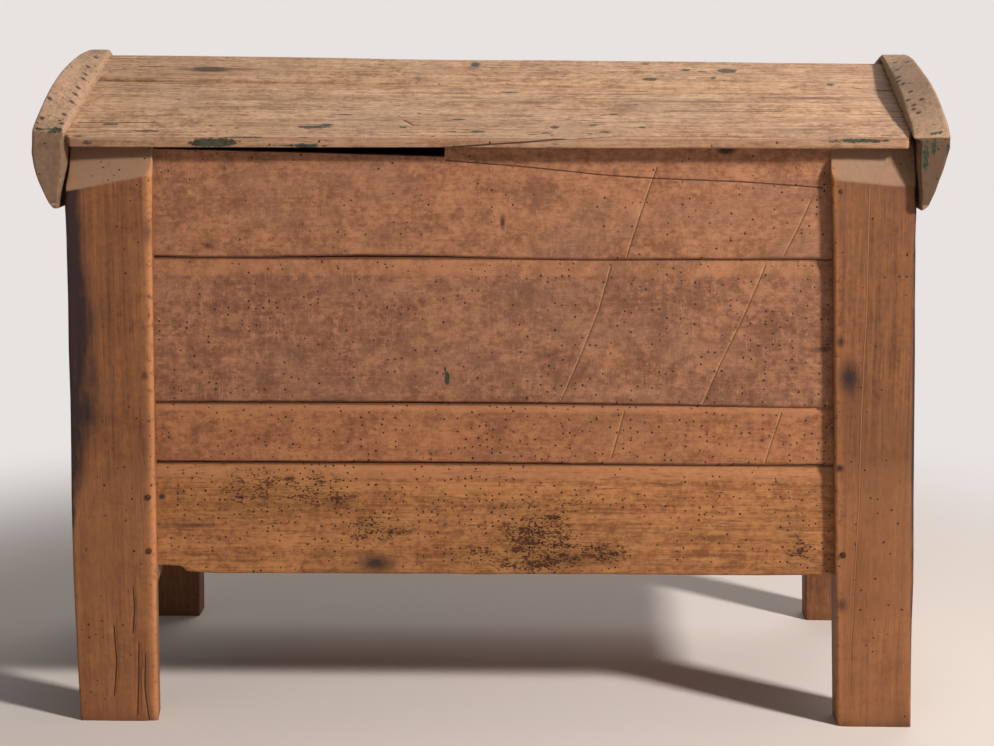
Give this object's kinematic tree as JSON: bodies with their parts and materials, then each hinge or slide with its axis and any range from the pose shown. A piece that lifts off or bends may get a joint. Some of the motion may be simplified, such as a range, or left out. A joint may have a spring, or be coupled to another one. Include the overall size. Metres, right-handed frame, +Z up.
{
  "type": "plank chest",
  "caption": "Plank chest on four post legs, with boards slid into grooved posts and a gabled lid whose end cleats turn on wooden pins.",
  "frame": {"origin": "on the floor under the middle of the chest", "axes": "+X to the right along the chest's length, the front faces -Y, +Z up"},
  "size_m": [1.287, 0.63, 0.9719],
  "materials": {
    "post_wood": "old warm brown oak, waxed, dark stains down the outer edges",
    "wall_wood": "riven oak, orange brown, smoky streaks and worm holes",
    "lid_wood": "paler worn oak, tan, with flecks of green paint",
    "cleat_wood": "grey tan worn oak",
    "peg_wood": "dark oak end grain",
    "floor_wood": "dry unfinished oak"
  },
  "bodies": {
    "chest": {"back_board_1": "wall_wood", "back_board_2": "wall_wood", "back_board_3": "wall_wood", "back_board_4": "wall_wood", "back_left_post": "post_wood", "back_left_post_pegs": "peg_wood", "back_right_post": "post_wood", "back_right_post_pegs": "peg_wood", "floor_board_1": "floor_wood", "floor_board_2": "floor_wood", "floor_board_3": "floor_wood", "floor_board_4": "floor_wood", "floor_board_5": "floor_wood", "front_board_1": "wall_wood", "front_board_2": "wall_wood", "front_board_3": "wall_wood", "front_board_4": "wall_wood", "front_left_post": "post_wood", "front_left_post_pegs": "peg_wood", "front_right_post": "post_wood", "front_right_post_pegs": "peg_wood", "left_end_board_1": "wall_wood", "left_end_board_2": "wall_wood", "left_end_board_3": "wall_wood", "left_hinge_pin": "peg_wood", "right_end_board_1": "wall_wood", "right_end_board_2": "wall_wood", "right_end_board_3": "wall_wood", "right_hinge_pin": "peg_wood"},
    "lid": {"left_cleat": "cleat_wood", "left_cleat_pegs": "peg_wood", "lid_back_board": "lid_wood", "lid_front_board": "lid_wood", "ridge_board": "lid_wood", "right_cleat": "cleat_wood", "right_cleat_pegs": "peg_wood"}
  },
  "joints": [
    {"name": "lid_hinge", "type": "hinge", "parent": "chest", "child": "lid", "pos_m": [0, 0.272, 0.803], "axis": [-1, 0, 0], "range_deg": [0, 105]}
  ]
}
